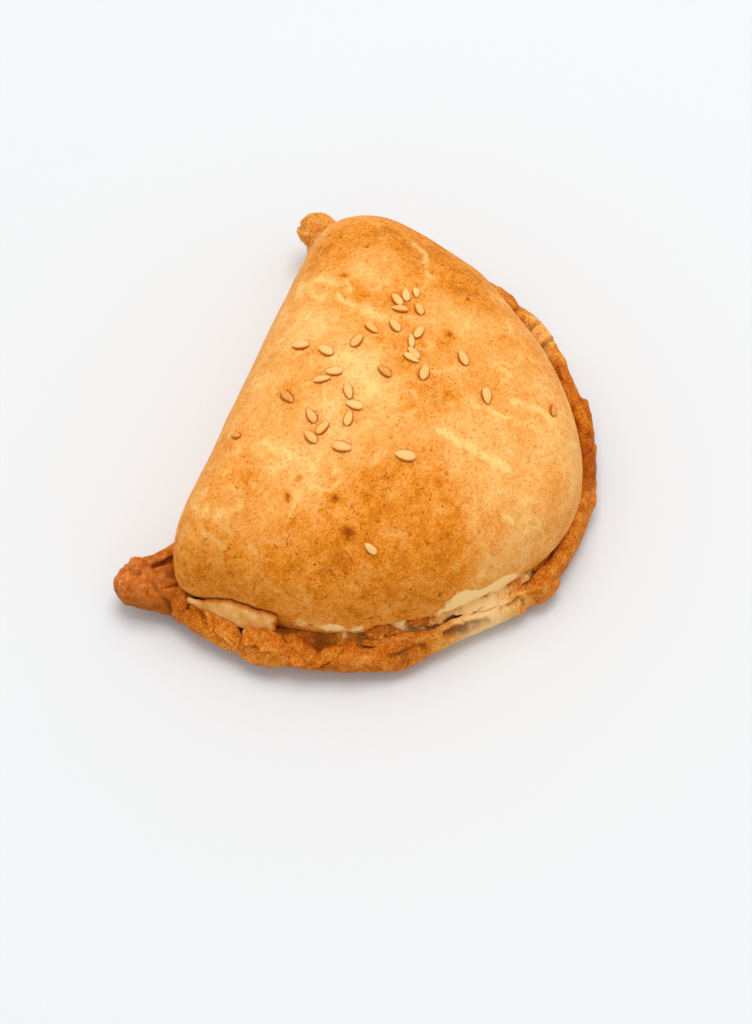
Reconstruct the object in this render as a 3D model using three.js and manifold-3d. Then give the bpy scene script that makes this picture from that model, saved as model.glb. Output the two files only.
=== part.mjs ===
// An oven-baked empanada, in millimetres: one round of dough folded over its filling.
// The fold runs along X at the back, the seam is crimped round the front, and each end of
// the seam is twisted into a short horn. A few sesame seeds are baked on to the crust, and
// low on the left a flake of the crust has lifted. It all bakes into one solid.
// Its outline is written round the middle of the dough, by the angle that a ray from there
// makes with +X, counter-clockwise seen from above. The origin is under the middle of the
// whole pastry, on the face that it rests on.
import * as THREE from "three";
import Module from "manifold-3d";

// The pouch: its middle in plan, and the crown, side and foot of the swollen crust.
const MIDDLE_X = 0.5;
const MIDDLE_Y = 10.79;
const CROWN_HEIGHT = 42;
const SIDE_HEIGHT = 15;
const FAR_SHOULDER_RISE = 2.5;
const SIDE_RADIUS = 50;
const FOLD_REACH = 25.7;
const FOLD_SKEW = 1.5;
const CROWN_SQUARENESS = 2.5;
const CROWN_FLATNESS = 2.35;
const CORNER_SHARPNESS = 14;
const FOOT_RADIUS = 43;

// How far the pouch's side stands out or draws in, and how wide a stretch of it does.
const SIDE_SWELLS = [
  { angle: 268, width: 18, by: 4.2 },
  { angle: 322, width: 20, by: -2.6 },
  { angle: 16, width: 17, by: 3.6 },
  { angle: 152, width: 10, by: 0.6 },
  { angle: 159, width: 6, by: 3.0 },
  { angle: 186, width: 13, by: -1.2 },
  { angle: 214, width: 15, by: -1.4 },
  { angle: 284, width: 10, by: 0.7 },
];

// The rim, which leaves the pouch at a tight crease under its bulging side.
const RIM_RADIUS = 55;
const EDGE_BEND = 1.75;
const RIM_TOP = 6.9;
const CREASE_RADIUS = 47.6;
const CREASE_HEIGHT = 6.6;
const UNDERSIDE = 2.3;
const LIP_RISE = 1.5;
const LIP_HOLLOW = 1.0;
const RIM_SWELLS = [
  { angle: 166, width: 14, by: 1.2 },
  { angle: 230, width: 15, by: -2.2 },
  { angle: 266, width: 14, by: 1.0 },
  { angle: 290, width: 8, by: 0.7 },
  { angle: 336, width: 16, by: 0.9 },
];
const CREASE_SWELLS = [
  { angle: 258, width: 16, by: 3.2 },
  { angle: 214, width: 15, by: -1.3 },
];

// How much higher the crease and the rim's underside lie on some stretches.
const CREASE_LIFTS = [
  { angle: 195, width: 8, by: 2.2 },
  { angle: 216, width: 13, by: 3.6 },
  { angle: 236, width: 7, by: 1.4 },
];
const UNDERSIDE_LIFTS = [{ angle: 182, width: 26, by: 1.8 }];

// How strongly the lip stands up on the lumpy stretch by the near horn and on the smooth
// stretch past it, and between which angles it changes.
const LUMPY_LIP = 0.35;
const SMOOTH_LIP = 1.25;
const LUMPY_TO = 195;
const SMOOTH_FROM = 215;

// The tucks of the crimp, from the near horn round to the far one. Each climbs to a crest
// over its width, out and up, and falls away behind it over a share of that width.
const TUCK_SLANT = 3.5;
const TUCKS = [
  { crest: 161, width: 3.6, rise: 2.1, reach: 0.5, fall: 0.45 },
  { crest: 167, width: 3, rise: 1.6, reach: 0.4, fall: 0.45 },
  { crest: 174.8, width: 5, rise: 1.4, reach: 0.4, fall: 0.35 },
  { crest: 185, width: 5.5, rise: 2.9, reach: 1, fall: 0.35 },
  { crest: 192.5, width: 4, rise: 1.6, reach: 0.2, fall: 0.35 },
  { crest: 203, width: 5.5, rise: 2.1, reach: 0.2, fall: 0.5 },
  { crest: 217, width: 6, rise: 0.9, reach: 0.2, fall: 0.8 },
  { crest: 231, width: 7, rise: 0.7, reach: 0, fall: 0.8 },
  { crest: 246, width: 5, rise: 0.8, reach: 0.5, fall: 0.4 },
  { crest: 254.5, width: 3.5, rise: 0.6, reach: 1.3, fall: 0.6 },
  { crest: 266, width: 7, rise: 0.4, reach: 0.4, fall: 0.9 },
  { crest: 281, width: 9, rise: 0.5, reach: 0.4, fall: 0.9 },
  { crest: 303.5, width: 9, rise: 1.5, reach: 1, fall: 0.35 },
  { crest: 317, width: 6, rise: 0.6, reach: 0, fall: 0.9 },
  { crest: 331.5, width: 11, rise: 1.7, reach: 0.8, fall: 0.45 },
  { crest: 345, width: 7, rise: 1.4, reach: 1.1, fall: 1.6 },
  { crest: 5, width: 9, rise: 0.4, reach: 0, fall: 1 },
];

// Dips in the rim's top, and the lower round of dough where it shows past the upper one.
const RIM_DIPS = [
  { angle: 196, width: 4.5, by: 1.3 },
  { angle: 291, width: 9, by: 0.5 },
];
const LOWER_LIP = 0.3;
const LOWER_LIP_SWELLS = [
  { angle: 216, width: 6, by: 1 },
  { angle: 253, width: 3, by: 0.9 },
  { angle: 247, width: 1.4, by: 0.7 },
  { angle: 182, width: 6, by: 0.7 },
  { angle: 278, width: 7, by: 0.6 },
];

// The stretch at the back that is folded, and so has no rim, in degrees.
const FOLD_FROM = 29.8;
const FOLD_TO = 147;
const FOLD_EASE = 6;
const FOLD_UNDERCUT = 8;

// Each horn: its angle, width in degrees, reach of its tip in X and Y, rise and lift.
const HORN_BLUNTNESS = 3;
const HORNS = [
  { angle: 150.5, width: 6.5, x: -5.9, y: 5.6, rise: 2.4, lift: 1.2 },
  { angle: 28.3, width: 7, x: 5.4, y: 6.2, rise: 6.6, lift: 1.6 },
];

// The lifted flake: where it starts and ends round the side, the height of its top edge at
// the start and further on, its width at its tip and further on, how far its top edge
// stands off, how much further its bottom edge leans out, and how deep it is rooted.
const FLAKE_START = 161;
const FLAKE_END = 184.5;
const FLAKE_LOW_TOP = 10;
const FLAKE_TOP = 15.6;
const FLAKE_TIP = 0.8;
const FLAKE_WIDTH = 7.4;
const FLAKE_STAND_OFF = 0.5;
const FLAKE_LEAN = 1.6;
const FLAKE_THICKNESS = 0.9;
const FLAKE_ROOT = 2.4;

// A sesame seed, and how much of it stands out of the crust.
const SEED_LENGTH = 3.9;
const SEED_WIDTH = 2.4;
const SEED_THICKNESS = 1.3;
const SEED_PROUD = 0.15;

// Where each seed lies, as x and y from the origin, and the way that it points in degrees.
const SEEDS = [
  [22.1, 8.6, 50], [24.4, 7.2, 25], [26.4, 5.7, 205], [19.8, 6.9, 110],
  [21.8, 3.0, 35], [14.4, 5.8, 50], [11.6, 10.1, 245], [7.1, 11.7, 345],
  [15.1, 0.4, 355], [12.1, 0.9, 25], [9.5, -0.7, 65], [8.1, -0.5, 265],
  [6.3, -4.6, 10], [13.9, -10.6, 45], [7.3, -18.8, 210], [13.9, -32.2, 10],
  [2.5, 3.1, 75], [-1.8, 13.2, 115], [-4.5, 15.0, 300], [2.4, 17.0, 75],
  [2.7, 23.2, 95], [-5.2, 8.4, 215], [-7.7, 5.9, 95], [-11.3, 5.8, 10],
  [-13.3, 13.7, 50], [-15.1, 10.2, 340], [-18.0, 11.7, 65], [-10.6, 20.4, 245],
  [-21.6, 28.1, 80], [-17.8, 4.5, 280], [-13.8, -8.5, 105], [-34.6, -9.4, 65],
];

// How finely the skin is cut: columns round it, and rows down each stretch of its profile.
const COLUMNS = 144;
const CROWN_ROWS = 11;
const FLANK_ROWS = 4;
const RIM_ROWS = 5;
const EDGE_ROWS = 4;
const UNDER_ROWS = 3;
const BASE_ROWS = 2;

const radians = (degrees) => (degrees * Math.PI) / 180;

// Goes smoothly from 0 at a to 1 at b.
function ease(a, b, x) {
  const t = Math.min(Math.max((x - a) / (b - a), 0), 1);
  return t * t * (3 - 2 * t);
}

// The signed turn from one angle to another, between -180 and 180.
const turnFrom = (centre, angle) =>
  ((((angle - centre + 180) % 360) + 360) % 360) - 180;

// A hump of height 1 round one angle, that fades over its width on either side. A higher
// bluntness gives it a flatter top.
const hump = (angle, centre, width, bluntness = 2) =>
  Math.exp(-(Math.abs(turnFrom(centre, angle) / width) ** bluntness));

// What a list of swells adds up to at one angle.
const total = (swells, angle) =>
  swells.reduce((sum, s) => sum + s.by * hump(angle, s.angle, s.width), 0);

// The plan radius of the pouch's side: a round of dough cut short by the straight fold.
function sideRadius(angle) {
  const round = SIDE_RADIUS + total(SIDE_SWELLS, angle);
  const sine = Math.sin(radians(angle));
  if (sine <= 0.02) return round;
  const fold = (FOLD_REACH + FOLD_SKEW * Math.cos(radians(angle))) / sine;
  return (
    (round ** -CORNER_SHARPNESS + fold ** -CORNER_SHARPNESS) **
    (-1 / CORNER_SHARPNESS)
  );
}

const sideHeight = (angle) =>
  SIDE_HEIGHT + FAR_SHOULDER_RISE * hump(angle, 16, 25);

// 1 where the seam is crimped and 0 along the fold, which has no rim.
const crimped = (angle) =>
  1 -
  ease(FOLD_FROM, FOLD_FROM + FOLD_EASE, angle) *
    (1 - ease(FOLD_TO - FOLD_EASE, FOLD_TO, angle));

// How much all the tucks add at one angle, either to the rim's rise or to its reach.
function tucked(angle, what) {
  return TUCKS.reduce((sum, tuck) => {
    const climbing = turnFrom(tuck.crest, angle) < 0;
    const width = climbing ? tuck.width : tuck.width * tuck.fall;
    return sum + tuck[what] * hump(angle, tuck.crest, width);
  }, 0);
}

// The slow swell of a baked crust, in millimetres.
const swell = (x, y) =>
  0.55 * Math.sin(0.11 * x + 0.05 * y + 1) +
  0.45 * Math.sin(-0.07 * x + 0.14 * y + 2.1) +
  0.3 * Math.sin(0.23 * x + 0.19 * y);

// One point of the skin, from its plan radius and height, with a horn's pull added.
function place(angle, radius, height, pull = { x: 0, y: 0 }) {
  const x = radius * Math.cos(radians(angle)) + pull.x;
  const y = radius * Math.sin(radians(angle)) + pull.y;
  const swollen = height + ease(8, 22, height) * swell(x, y);
  return [x + MIDDLE_X, y + MIDDLE_Y, swollen];
}

// The crown's height at a share of the way out from the middle to the side.
function crownHeight(angle, share) {
  const side = sideHeight(angle);
  const level = Math.max(1 - share ** CROWN_SQUARENESS, 0);
  return side + (CROWN_HEIGHT - side) * level ** (1 / CROWN_FLATNESS);
}

// The shares 1/count, 2/count ... 1 of one stretch of the profile.
const steps = (count) => Array.from({ length: count }, (_, i) => (i + 1) / count);

// The crown of one column, from just off the middle out to the side.
function crownColumn(angle) {
  return steps(CROWN_ROWS).map((t) => {
    const share = Math.sin((t * Math.PI) / 2) ** (2 / CROWN_SQUARENESS);
    return place(angle, share * sideRadius(angle), crownHeight(angle, share));
  });
}

const creaseHeight = (angle) => CREASE_HEIGHT + total(CREASE_LIFTS, angle);

// The height of the rim's top at a share of the way out from the crease to the lip. It
// dips and then climbs to the lip, more where the lip stands up, and the tucks cross it.
function rimTop(angle, share) {
  const smooth = ease(LUMPY_TO, SMOOTH_FROM, angle);
  const lip = LUMPY_LIP + (SMOOTH_LIP - LUMPY_LIP) * smooth;
  const slanted = angle - TUCK_SLANT * (share - 0.6);
  return (
    RIM_TOP +
    (creaseHeight(angle) - RIM_TOP) * (1 - ease(0, 0.6, share)) +
    lip * LIP_RISE * ease(0.35, 0.8, share) -
    lip * LIP_HOLLOW * Math.sin(Math.PI * Math.min(share / 0.7, 1)) -
    total(RIM_DIPS, angle) * Math.sin(Math.PI * Math.min(share / 0.8, 1)) +
    tucked(slanted, "rise") * Math.sin(0.72 * Math.PI * share)
  );
}

// The crimped profile below the side: the flank into the crease, the rim's top and round
// edge, and its underside back to the foot. Each point also says how far round the fold's
// plain quarter it would be, and how much of a horn's pull and rise it takes.
function rimProfile(angle) {
  const side = sideRadius(angle);
  const top = sideHeight(angle);
  const crease = Math.min(CREASE_RADIUS + total(CREASE_SWELLS, angle), side - 1.6);
  const edge =
    RIM_RADIUS + total(RIM_SWELLS, angle) + tucked(angle, "reach") - EDGE_BEND;
  const lowerLip = LOWER_LIP + total(LOWER_LIP_SWELLS, angle);
  const lipTop = rimTop(angle, 1);
  const under = UNDERSIDE + total(UNDERSIDE_LIFTS, angle);
  const flank = steps(FLANK_ROWS).map((t) => ({
    radius: crease + (side - crease) * Math.cos((t * Math.PI) / 2),
    height: top - (top - creaseHeight(angle)) * Math.sin((t * Math.PI) / 2),
    turn: 30 * t,
    pull: 0,
    rise: 0,
  }));
  const rim = steps(RIM_ROWS).map((t) => ({
    radius: crease + (edge - crease) * t,
    height: rimTop(angle, t),
    turn: 30 + 30 * t,
    pull: ease(0, 1, t),
    rise: ease(0, 0.7, t),
  }));
  const roundEdge = steps(EDGE_ROWS).map((t) => ({
    radius:
      edge +
      EDGE_BEND * Math.sin(t * Math.PI) +
      lowerLip * Math.sin(Math.max(2 * t - 1, 0) * Math.PI),
    height: lipTop + ((under - lipTop) * (1 - Math.cos(t * Math.PI))) / 2,
    turn: 60 + 14 * t,
    pull: 1,
    rise: (1 + Math.cos(t * Math.PI)) / 2,
  }));
  const underside = steps(UNDER_ROWS).map((t) => ({
    radius: edge + (FOOT_RADIUS - edge) * t,
    height: under * (1 - t) ** 1.4,
    turn: 74 + 16 * t,
    pull: 1 - t,
    rise: 0,
  }));
  return [...flank, ...rim, ...roundEdge, ...underside];
}

// The lower part of one column: crimped at the front, a plain rounded quarter at the fold.
function lowerColumn(angle) {
  const rim = crimped(angle);
  const side = sideRadius(angle);
  const horn = { x: 0, y: 0, rise: 0, lift: 0 };
  for (const h of HORNS)
    for (const key in horn)
      horn[key] += rim * h[key] * hump(angle, h.angle, h.width, HORN_BLUNTNESS);
  return rimProfile(angle).map((p) => {
    const quarter = radians(p.turn);
    const tuckedIn = 1 - Math.max(Math.cos(quarter), 0) ** 0.9;
    const foldRadius = side - FOLD_UNDERCUT * tuckedIn;
    const foldHeight = sideHeight(angle) * (1 - Math.sin(quarter));
    return place(
      angle,
      rim * p.radius + (1 - rim) * foldRadius,
      rim * p.height +
        (1 - rim) * foldHeight +
        p.rise * horn.rise +
        p.pull * horn.lift,
      { x: p.pull * horn.x, y: p.pull * horn.y },
    );
  });
}

// The columns' angles: close together at the horns and tucks, wide apart along the fold.
function columnAngles() {
  const step = 0.25;
  const closeness = (angle) =>
    0.45 +
    0.75 * (1 - ease(34, 42, angle) * (1 - ease(136, 144, angle))) +
    0.9 * hump(angle, 148, 9) +
    0.9 * hump(angle, 31, 9) +
    0.5 * hump(angle, 180, 26);
  const sums = [0];
  for (let angle = 0; angle < 360; angle += step)
    sums.push(sums.at(-1) + closeness(angle + step / 2));
  const angles = [];
  let i = 0;
  for (let column = 0; column < COLUMNS; column++) {
    const wanted = (column / COLUMNS) * sums.at(-1);
    while (sums[i + 1] < wanted) i++;
    angles.push(step * (i + (wanted - sums[i]) / (sums[i + 1] - sums[i])));
  }
  return angles;
}

// A closed skin over rings of points, drawn to a single point at each end.
function skin(first, rings, last) {
  const around = rings[0].length;
  const points = [first, ...rings.flat(), last];
  const end = 1 + (rings.length - 1) * around;
  const faces = [];
  for (let i = 0; i < around; i++) {
    const next = (i + 1) % around;
    faces.push(0, 1 + i, 1 + next);
    for (let a = 1; a < end; a += around) {
      const b = a + around;
      faces.push(a + i, b + i, b + next, a + i, b + next, a + next);
    }
    faces.push(points.length - 1, end + next, end + i);
  }
  return { points, faces };
}

// The whole crust: the columns turned into rings, with the flat face that it rests on.
function crust() {
  const columns = columnAngles().map((angle) => {
    const column = [...crownColumn(angle), ...lowerColumn(angle)];
    const [x, y] = column.at(-1);
    for (let row = 1; row <= BASE_ROWS; row++) {
      const share = 1 - row / (BASE_ROWS + 1);
      column.push([
        MIDDLE_X + (x - MIDDLE_X) * share,
        MIDDLE_Y + (y - MIDDLE_Y) * share,
        0,
      ]);
    }
    return column;
  });
  const rings = columns[0].map((_, row) => columns.map((column) => column[row]));
  const crown = place(0, 0, CROWN_HEIGHT);
  return skin(crown, rings, [MIDDLE_X, MIDDLE_Y, 0]);
}

// The lifted flake: a thin strip that widens from nothing to its torn square end and
// leans out to its bottom edge. Its back is kept inside the pouch's side, so that it grows
// out of the crust.
function flake() {
  const cuts = 12;
  const rings = Array.from({ length: cuts + 1 }, (_, i) => {
    const t = i / cuts;
    const angle = FLAKE_START + (FLAKE_END - FLAKE_START) * t;
    const width = FLAKE_TIP + (FLAKE_WIDTH - FLAKE_TIP) * ease(-0.2, 0.6, t);
    const high = FLAKE_LOW_TOP + (FLAKE_TOP - FLAKE_LOW_TOP) * ease(0, 0.55, t);
    const low = high - width;
    const side = sideRadius(angle);
    const out = side + FLAKE_STAND_OFF * ease(0, 0.3, t);
    const bottom = out + (FLAKE_LEAN * width) / FLAKE_WIDTH;
    const back = side - FLAKE_ROOT;
    return [
      place(angle, back, high - 0.8),
      place(angle, out, high),
      place(angle, out + FLAKE_THICKNESS, high - 0.7),
      place(angle, (out + bottom) / 2 + FLAKE_THICKNESS * 1.2, (high + low) / 2),
      place(angle, bottom + FLAKE_THICKNESS, low + 0.4),
      place(angle, bottom, low),
      place(angle, back, low + 0.8),
    ];
  });
  const centre = (ring) =>
    [0, 1, 2].map((k) => ring.reduce((sum, p) => sum + p[k], 0) / ring.length);
  return skin(centre(rings[0]), rings, centre(rings.at(-1)));
}

// The height of the crust's top at a place that is given from the pouch's middle.
function crustTop(x, y) {
  const angle = ((Math.atan2(y, x) * 180) / Math.PI + 360) % 360;
  const share = Math.hypot(x, y) / sideRadius(angle);
  const height = crownHeight(angle, share);
  return height + ease(8, 22, height) * swell(x, y);
}

// A sesame seed: a flat drop, blunt at one end, laid along the crust.
function seed([x, y, turn]) {
  const dx = x - MIDDLE_X;
  const dy = y - MIDDLE_Y;
  const slopeX = (crustTop(dx + 1, dy) - crustTop(dx - 1, dy)) / 2;
  const slopeY = (crustTop(dx, dy + 1) - crustTop(dx, dy - 1)) / 2;
  const up = new THREE.Vector3(-slopeX, -slopeY, 1).normalize();
  const along = new THREE.Vector3(
    Math.cos(radians(turn)),
    Math.sin(radians(turn)),
    0,
  )
    .projectOnPlane(up)
    .normalize();
  const across = new THREE.Vector3().crossVectors(up, along);
  const frame = new THREE.Matrix4()
    .makeBasis(along, across, up)
    .setPosition(x, y, crustTop(dx, dy) + SEED_PROUD);
  const at = (a, b, c) =>
    new THREE.Vector3(a, b, c).applyMatrix4(frame).toArray();
  const sides = 6;
  const rings = [-0.55, 0.05, 0.62].map((t) => {
    const girth = Math.sqrt(1 - t * t) * (1 - 0.18 * t);
    return Array.from({ length: sides }, (_, i) => {
      const round = (2 * Math.PI * i) / sides;
      return at(
        (t * SEED_LENGTH) / 2,
        (Math.cos(round) * girth * SEED_WIDTH) / 2,
        (Math.sin(round) * girth * SEED_THICKNESS) / 2,
      );
    });
  });
  return skin(at(-SEED_LENGTH / 2, 0, 0), rings, at(SEED_LENGTH / 2, 0, 0));
}

const wasm = await Module();
wasm.setup();

// A skin as a solid, whichever way round its faces were written.
function solid({ points, faces }) {
  const make = (triVerts) =>
    new wasm.Manifold(
      new wasm.Mesh({
        numProp: 3,
        vertProperties: new Float32Array(points.flat()),
        triVerts: new Uint32Array(triVerts),
      }),
    );
  const made = make(faces);
  return made.volume() > 0 ? made : make([...faces].reverse());
}

// Everything that bakes into the pastry, joined and turned back into a mesh.
function pastryGeometry() {
  let whole = solid(crust()).add(solid(flake()));
  for (const placed of SEEDS) whole = whole.add(solid(seed(placed)));
  const mesh = whole.getMesh();
  return new THREE.BufferGeometry()
    .setAttribute(
      "position",
      new THREE.BufferAttribute(mesh.vertProperties, mesh.numProp),
    )
    .setIndex(new THREE.BufferAttribute(mesh.triVerts, 1));
}

const bakedCrust = new THREE.MeshStandardMaterial({
  color: "#d9964a",
  roughness: 0.62,
  metalness: 0,
});

const pastry = new THREE.Mesh(pastryGeometry(), bakedCrust);
pastry.name = "pastry";

const empanada = new THREE.Group();
empanada.name = "empanada";
empanada.add(pastry);

export default empanada;
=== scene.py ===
"""An oven-baked empanada on a pale table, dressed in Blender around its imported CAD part."""

import bpy
import numpy as np
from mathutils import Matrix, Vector


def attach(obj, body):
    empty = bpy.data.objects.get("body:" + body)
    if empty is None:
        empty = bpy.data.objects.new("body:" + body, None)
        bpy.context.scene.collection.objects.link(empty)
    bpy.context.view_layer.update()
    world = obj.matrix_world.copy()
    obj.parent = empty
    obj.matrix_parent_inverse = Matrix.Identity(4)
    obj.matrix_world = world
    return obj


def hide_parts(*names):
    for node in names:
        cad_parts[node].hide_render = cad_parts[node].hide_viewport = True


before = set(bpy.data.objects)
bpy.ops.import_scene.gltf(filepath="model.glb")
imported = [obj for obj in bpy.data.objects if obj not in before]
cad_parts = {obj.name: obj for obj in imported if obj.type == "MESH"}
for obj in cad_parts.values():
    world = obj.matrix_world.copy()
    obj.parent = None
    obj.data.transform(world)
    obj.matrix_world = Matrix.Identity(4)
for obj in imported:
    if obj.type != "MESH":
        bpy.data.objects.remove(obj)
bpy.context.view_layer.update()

# The photograph's viewpoint: a long lens, 60 degrees above the table, looking across the
# pastry from its near horn, so that the fold runs up and to the left.
CAMERA_AZIMUTH, CAMERA_ELEVATION = np.radians([-67, 60])
CAMERA_DISTANCE = 0.654
CAMERA_AIM = Vector((-0.0056, 0.0018, -0.0046))
LENS_MM = 100

away = Vector((
    np.sin(CAMERA_AZIMUTH) * np.cos(CAMERA_ELEVATION),
    -np.cos(CAMERA_AZIMUTH) * np.cos(CAMERA_ELEVATION),
    np.sin(CAMERA_ELEVATION),
))
camera = bpy.data.objects.new("camera", bpy.data.cameras.new("camera"))
camera.data.lens = LENS_MM
camera.location = CAMERA_AIM + CAMERA_DISTANCE * away
camera.rotation_euler = away.to_track_quat("Z", "Y").to_euler()
bpy.context.scene.collection.objects.link(camera)
bpy.context.scene.camera = camera


# The crust. One round of wheat dough is folded over its filling, sealed round the front
# and baked: it puffs into a pouch over a crimped rim whose two ends are pulled out into
# horns. It is one skin, a grid of columns round the pouch and rows down its side, in mm.
MM = 0.001
MIDDLE = np.array([0.5, 10.79, 0.0])
CROWN_HEIGHT, SIDE_HEIGHT, FAR_SHOULDER_RISE = 42.0, 15.0, 2.5
SIDE_RADIUS, FOLD_REACH, FOLD_SKEW, FOOT_RADIUS = 50.0, 25.7, 1.5, 43.0
CROWN_SQUARENESS, CROWN_FLATNESS, CORNER_SHARPNESS = 2.5, 2.35, 14.0
RIM_RADIUS, RIM_TOP, EDGE_BEND, UNDERSIDE = 55.0, 6.9, 1.75, 2.3
CREASE_RADIUS, CREASE_HEIGHT, LIP_RISE, LIP_HOLLOW = 47.6, 6.6, 1.5, 1.0
LUMPY_LIP, SMOOTH_LIP, LUMPY_TO, SMOOTH_FROM = 0.35, 1.25, 195.0, 215.0
FOLD_FROM, FOLD_TO, FOLD_EASE, FOLD_UNDERCUT = 29.8, 147.0, 6.0, 8.0

# Each swell is an angle round the pouch, the width of the stretch, and how far it goes.
SIDE_SWELLS = [
    (268, 18, 4.2), (322, 20, -2.6), (16, 17, 3.6), (152, 10, 0.6), (159, 6, 3.0), (186, 13, -1.2),
    (214, 15, -1.4), (284, 10, 0.7),
]
RIM_SWELLS = [(166, 14, 1.2), (230, 15, -2.2), (266, 14, 1.0), (290, 8, 0.7), (336, 16, 0.9)]
CREASE_SWELLS = [(258, 16, 3.2), (214, 15, -1.3)]
CREASE_LIFTS = [(195, 8, 2.2), (216, 13, 3.6), (236, 7, 1.4)]
UNDERSIDE_LIFTS = [(182, 26, 1.8)]
LOWER_LIP_SWELLS = [(216, 6, 1.0), (253, 3, 0.9), (247, 1.4, 0.7), (182, 6, 0.7), (278, 7, 0.6)]

# Each hollow pressed into the rim's top: an angle, a share of the way out from the crease,
# a depth, and a width round the pouch and across the rim.
RIM_HOLLOWS = [
    (149.2, 0.3, 1.5, 0.7, 0.2), (156, 0.4, 1.6, 0.6, 0.3), (158, 0.8, 1.0, 0.7, 0.4),
    (153, 0.15, 1.2, 2, 0.25), (161.8, 0.7, 1.5, 0.7, 0.35), (175.8, 0.6, 2.4, 1.5, 0.4),
    (190.5, 0.9, 0.8, 0.8, 0.5), (196, 0.4, 1.9, 3.2, 0.35), (206, 0.1, 1.2, 1.2, 0.2),
    (214.2, 0.2, 1.5, 1.3, 0.15), (220, 0.22, 1.6, 1.0, 0.15), (224.3, 0.25, 1.8, 1.0, 0.15),
    (231.5, 0.36, 1.4, 2, 0.2), (246.6, 0.4, 1.0, 2, 0.2), (256.5, 0.4, 0.9, 2, 0.2),
    (270, 0.25, 1.0, 5, 0.3), (287, 0.45, 1.6, 4, 0.4), (294, 0.5, 1.4, 2, 0.4),
    (307, 0.35, 1.6, 5, 0.3), (315, 0.5, 2.0, 3.5, 0.35), (322, 0.45, 2.2, 3.5, 0.3),
    (327.4, 0.5, 0.9, 0.8, 0.3), (331, 0.5, 1.2, 0.9, 0.35), (340, 0.4, 1.8, 4, 0.35),
]

# Each tuck of the crimp: its crest's angle, width, rise, reach and how soon it falls away.
TUCK_SLANT = 3.5
TUCKS = np.array([
    (161, 3.6, 2.1, 0.5, 0.45), (167, 3, 1.6, 0.4, 0.45), (174.8, 5, 1.4, 0.4, 0.35),
    (185, 5.5, 2.9, 1, 0.35), (192.5, 4, 1.6, 0.2, 0.35), (203, 5.5, 2.1, 0.2, 0.5),
    (217, 6, 0.9, 0.2, 0.8), (231, 7, 0.7, 0, 0.8), (246, 5, 0.8, 0.5, 0.4),
    (254.5, 3.5, 0.6, 1.3, 0.6), (266, 7, 0.4, 0.4, 0.9), (281, 9, 0.5, 0.4, 0.9),
    (303.5, 9, 1.5, 1, 0.35), (317, 6, 0.6, 0, 0.9), (331.5, 11, 1.7, 0.8, 0.45),
    (345, 7, 1.4, 1.1, 1.6), (5, 9, 0.4, 0, 1),
])

# Each horn: its angle, width, and how far its tip goes in X and Y, up, and off the table.
HORN_BLUNTNESS = 3
HORNS = [(150.5, 6.5, -5.9, 5.6, 2.4, 1.2), (28.3, 7, 5.4, 6.2, 6.6, 1.6)]

# Strands of dough that stayed stuck across the crease: an angle, a width and a height.
WEBS = [
    (201.8, 1.2, 1.2), (210, 1.6, 1.0), (217.3, 0.9, 1.2), (227.4, 1.3, 1.4), (218, 13, 1.6),
    (235, 7, 2.2), (249, 10, 3.8), (266, 8, 1.8),
]

COLUMNS = 620
ROWS = {"crown": 84, "flank": 17, "rim": 28, "edge": 14, "under": 4, "base": 2}


def ease(start, end, x):
    """Goes from 0 at start to 1 at end by t * t * (3 - 2 * t)."""
    t = np.clip((x - start) / (end - start), 0, 1)
    return t * t * (3 - 2 * t)


def hump(angle, centre, width, bluntness=2):
    """The bell exp(-|turn / width| ** bluntness) round an angle, the turn being under 180."""
    turn = (angle - centre + 180) % 360 - 180
    return np.exp(-(np.abs(turn / width) ** bluntness))


def swells(table, angle):
    """The sum of every hump of a table, each as tall as the table says."""
    return sum(by * hump(angle, centre, width) for centre, width, by in table)


def tucked(angle, column):
    """The sum of the tucks: each a hump that is wide before its crest and narrow after it."""
    crest, width, fall = TUCKS[:, 0], TUCKS[:, 1], TUCKS[:, 4]
    turn = (angle[..., None] - crest + 180) % 360 - 180
    spread = np.where(turn < 0, width, width * fall)
    return (TUCKS[:, column] * np.exp(-((turn / spread) ** 2))).sum(-1)


def side_radius(angle):
    """A circle with swells, cut by the line of the fold: their high negative powers add."""
    circle = SIDE_RADIUS + swells(SIDE_SWELLS, angle)
    sine = np.sin(np.radians(angle))
    line = (FOLD_REACH + FOLD_SKEW * np.cos(np.radians(angle))) / np.maximum(sine, 0.02)
    line = np.where(sine > 0.02, line, 1e6)
    return (circle**-CORNER_SHARPNESS + line**-CORNER_SHARPNESS) ** (-1 / CORNER_SHARPNESS)


def side_height(angle):
    """The height of the widest line of the pouch, which climbs at the far shoulder."""
    return SIDE_HEIGHT + FAR_SHOULDER_RISE * hump(angle, 16, 25)


def rim_top(angle, share):
    """The rim's top from crease to lip: a line, a dip, a climb to the lip, and the tucks."""
    lip = LUMPY_LIP + (SMOOTH_LIP - LUMPY_LIP) * ease(LUMPY_TO, SMOOTH_FROM, angle)
    inner = CREASE_HEIGHT + swells(CREASE_LIFTS, angle)
    line = RIM_TOP + (inner - RIM_TOP) * (1 - ease(0, 0.6, share))
    climb = lip * LIP_RISE * ease(0.35, 0.8, share)
    dip = lip * LIP_HOLLOW * np.sin(np.pi * np.minimum(share / 0.7, 1))
    for centre, out, depth, width, across in RIM_HOLLOWS:
        dip = dip + depth * hump(angle, centre, width) * np.exp(-(((share - out) / across) ** 2))
    tucks = tucked(angle - TUCK_SLANT * (share - 0.6), 2) * np.sin(0.72 * np.pi * share)
    webs = swells(WEBS, angle) * np.exp(-(((share - 0.1) / 0.3) ** 2))
    return line + climb - dip + tucks + webs


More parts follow.
